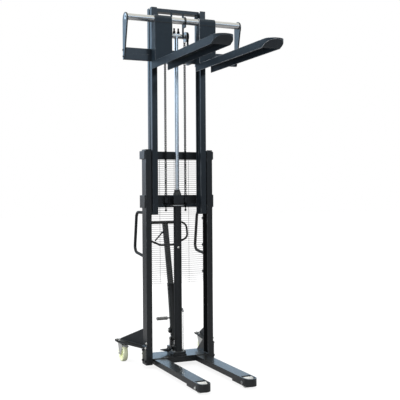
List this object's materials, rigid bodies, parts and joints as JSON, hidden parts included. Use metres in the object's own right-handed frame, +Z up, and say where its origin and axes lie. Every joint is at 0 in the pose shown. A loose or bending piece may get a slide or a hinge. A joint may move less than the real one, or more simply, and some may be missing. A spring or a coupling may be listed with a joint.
{
  "type": "hand pallet stacker",
  "caption": "Manual hydraulic pallet stacker with straddle legs, a telescopic chain-lifted mast, forks that slide on a round carriage bar, a pump handle and braked swivel casters.",
  "frame": {"origin": "on the floor, under the middle of the bounding box", "axes": "+Z up along the mast, +Y back towards the operator's handle, +X across the machine; the forks point along -Y"},
  "size_m": [1.042, 1.852, 3.05],
  "materials": {
    "mast_paint": "gloss",
    "base_paint": "gloss",
    "chrome": "polished",
    "bright_steel": "machined",
    "zinc": "zinc plated",
    "chain_steel": "oiled",
    "guard_wire": "galvanised",
    "white_nylon": "matte",
    "cream_nylon": "matte",
    "grip_rubber": "matte"
  },
  "bodies": {
    "frame": {"left_leg": "base_paint", "right_leg": "base_paint", "base_frame": "base_paint", "foot_gussets": "base_paint", "left_outer_channel": "base_paint", "right_outer_channel": "base_paint", "upper_crossbeam": "base_paint", "mid_crossbeam": "base_paint", "column_side_plates": "base_paint", "cylinder_bracket": "base_paint", "caster_brackets": "base_paint", "cylinder_tube": "base_paint", "cylinder_gland": "base_paint", "guard_mesh": "guard_wire", "guard_clips": "base_paint", "grab_handles": "base_paint", "pump_block": "base_paint", "axle_pins": "bright_steel", "chain_anchors": "base_paint", "rear_chains": "chain_steel", "oil_pipe": "base_paint", "plunger_spring": "bright_steel"},
    "inner_mast": {"left_inner_column": "mast_paint", "right_inner_column": "mast_paint", "inner_top_bar": "mast_paint", "inner_lower_tie": "mast_paint", "crosshead": "bright_steel", "crosshead_bolts": "bright_steel", "piston_rod": "chrome", "piston": "bright_steel", "carriage_stops": "mast_paint"},
    "carriage": {"carriage_bar": "chrome", "end_plates": "mast_paint", "carriage_beam": "mast_paint", "roller_plates": "mast_paint", "centre_collar": "base_paint", "carriage_bolts": "bright_steel", "front_chains": "chain_steel"},
    "left_fork": {"left_fork": "mast_paint"},
    "right_fork": {"right_fork": "mast_paint"},
    "chain_pulleys": {"chain_pulleys": "bright_steel"},
    "mast_top_rollers": {"mast_top_rollers": "bright_steel"},
    "mast_bottom_rollers": {"mast_bottom_rollers": "bright_steel"},
    "carriage_upper_rollers": {"carriage_upper_rollers": "bright_steel"},
    "carriage_lower_rollers": {"carriage_lower_rollers": "bright_steel"},
    "left_load_wheel": {"left_load_wheel": "white_nylon"},
    "right_load_wheel": {"right_load_wheel": "white_nylon"},
    "left_caster_fork": {"left_caster_fork": "zinc"},
    "right_caster_fork": {"right_caster_fork": "zinc"},
    "left_caster_wheel": {"left_caster_wheel": "cream_nylon"},
    "right_caster_wheel": {"right_caster_wheel": "cream_nylon"},
    "left_brake_pedal": {"left_brake_pedal": "zinc"},
    "right_brake_pedal": {"right_brake_pedal": "zinc"},
    "pump_handle": {"pump_lever": "base_paint", "handle_tube": "base_paint", "hand_loop": "base_paint", "handle_grips": "grip_rubber"},
    "release_lever": {"release_lever": "base_paint"},
    "plunger": {"plunger": "bright_steel"},
    "release_pedal": {"release_pedal": "base_paint"}
  },
  "joints": [
    {"name": "mast_lift", "type": "slide", "parent": "frame", "child": "inner_mast", "axis": [0, 0, 1], "range_m": [-1.213, 0], "deforming": ["rear_chains"]},
    {"name": "carriage_lift", "type": "slide", "parent": "inner_mast", "child": "carriage", "axis": [0, 0, 1], "range_m": [-1.213, 0], "deforming": ["front_chains"]},
    {"name": "left_fork_shift", "type": "slide", "parent": "carriage", "child": "left_fork", "axis": [1, 0, 0], "range_m": [-0.23, 0.117]},
    {"name": "right_fork_shift", "type": "slide", "parent": "carriage", "child": "right_fork", "axis": [1, 0, 0], "range_m": [-0.117, 0.23]},
    {"name": "pulley_turn", "type": "hinge", "parent": "inner_mast", "child": "chain_pulleys", "pos_m": [0, 0.492, 2.83], "axis": [1, 0, 0], "range_deg": [-1, 1932]},
    {"name": "mast_top_roller_turn", "type": "hinge", "parent": "frame", "child": "mast_top_rollers", "pos_m": [0, 0.484, 1.8], "axis": [1, 0, 0], "range_deg": [-1563, 1]},
    {"name": "mast_bottom_roller_turn", "type": "hinge", "parent": "inner_mast", "child": "mast_bottom_rollers", "pos_m": [0, 0.484, 1.345], "axis": [1, 0, 0], "range_deg": [-1, 1676]},
    {"name": "carriage_upper_roller_turn", "type": "hinge", "parent": "carriage", "child": "carriage_upper_rollers", "pos_m": [0, 0.484, 2.905], "axis": [1, 0, 0], "range_deg": [-1563, 1]},
    {"name": "carriage_lower_roller_turn", "type": "hinge", "parent": "carriage", "child": "carriage_lower_rollers", "pos_m": [0, 0.484, 2.625], "axis": [1, 0, 0], "range_deg": [-1, 1563]},
    {"name": "left_load_wheel_spin", "type": "hinge", "parent": "frame", "child": "left_load_wheel", "pos_m": [-0.192, -0.451, 0.04], "axis": [1, 0, 0], "continuous": true},
    {"name": "right_load_wheel_spin", "type": "hinge", "parent": "frame", "child": "right_load_wheel", "pos_m": [0.192, -0.451, 0.04], "axis": [1, 0, 0], "continuous": true},
    {"name": "left_caster_swivel", "type": "hinge", "parent": "frame", "child": "left_caster_fork", "pos_m": [-0.385, 0.874, 0.165], "axis": [0, 0, 1], "continuous": true},
    {"name": "left_caster_spin", "type": "hinge", "parent": "left_caster_fork", "child": "left_caster_wheel", "pos_m": [-0.385, 0.839, 0.075], "axis": [1, 0, 0], "continuous": true},
    {"name": "left_brake_press", "type": "hinge", "parent": "left_caster_fork", "child": "left_brake_pedal", "pos_m": [-0.385, 0.797, 0.146], "axis": [1, 0, 0], "range_deg": [0, 12]},
    {"name": "right_caster_swivel", "type": "hinge", "parent": "frame", "child": "right_caster_fork", "pos_m": [0.385, 0.874, 0.165], "axis": [0, 0, 1], "continuous": true},
    {"name": "right_caster_spin", "type": "hinge", "parent": "right_caster_fork", "child": "right_caster_wheel", "pos_m": [0.385, 0.839, 0.075], "axis": [1, 0, 0], "continuous": true},
    {"name": "right_brake_press", "type": "hinge", "parent": "right_caster_fork", "child": "right_brake_pedal", "pos_m": [0.385, 0.797, 0.146], "axis": [1, 0, 0], "range_deg": [0, 12]},
    {"name": "pump_handle_swing", "type": "hinge", "parent": "frame", "child": "pump_handle", "pos_m": [0, 0.584, 0.215], "axis": [-1, 0, 0], "range_deg": [0, 50], "stiffness_Nm_per_rad": 60, "springref_deg": -20.05},
    {"name": "plunger_stroke", "type": "slide", "parent": "frame", "child": "plunger", "axis": [0, 0, 1], "range_m": [-0.0386, 0], "deforming": ["plunger_spring"]},
    {"name": "release_lever_turn", "type": "hinge", "parent": "pump_handle", "child": "release_lever", "pos_m": [-0.036, 0.7706, 1.13], "axis": [0, 1, 0], "range_deg": [0, 18], "stiffness_Nm_per_rad": 1.5, "springref_deg": -11.46},
    {"name": "release_pedal_press", "type": "hinge", "parent": "frame", "child": "release_pedal", "pos_m": [-0.052, 0.584, 0.121], "axis": [0, -1, 0], "range_deg": [0, 15], "stiffness_Nm_per_rad": 4, "springref_deg": -17.19}
  ],
  "couplings": [
    {"joint": "carriage_lift", "follows": "mast_lift", "ratio": 1},
    {"joint": "pulley_turn", "follows": "mast_lift", "rad_per_m": -27.778},
    {"joint": "mast_top_roller_turn", "follows": "mast_lift", "rad_per_m": 22.472},
    {"joint": "mast_bottom_roller_turn", "follows": "mast_lift", "rad_per_m": -24.096},
    {"joint": "carriage_upper_roller_turn", "follows": "mast_lift", "rad_per_m": 22.472},
    {"joint": "carriage_lower_roller_turn", "follows": "mast_lift", "rad_per_m": -22.472},
    {"joint": "plunger_stroke", "follows": "pump_handle_swing", "m_per_rad": -0.0441}
  ]
}
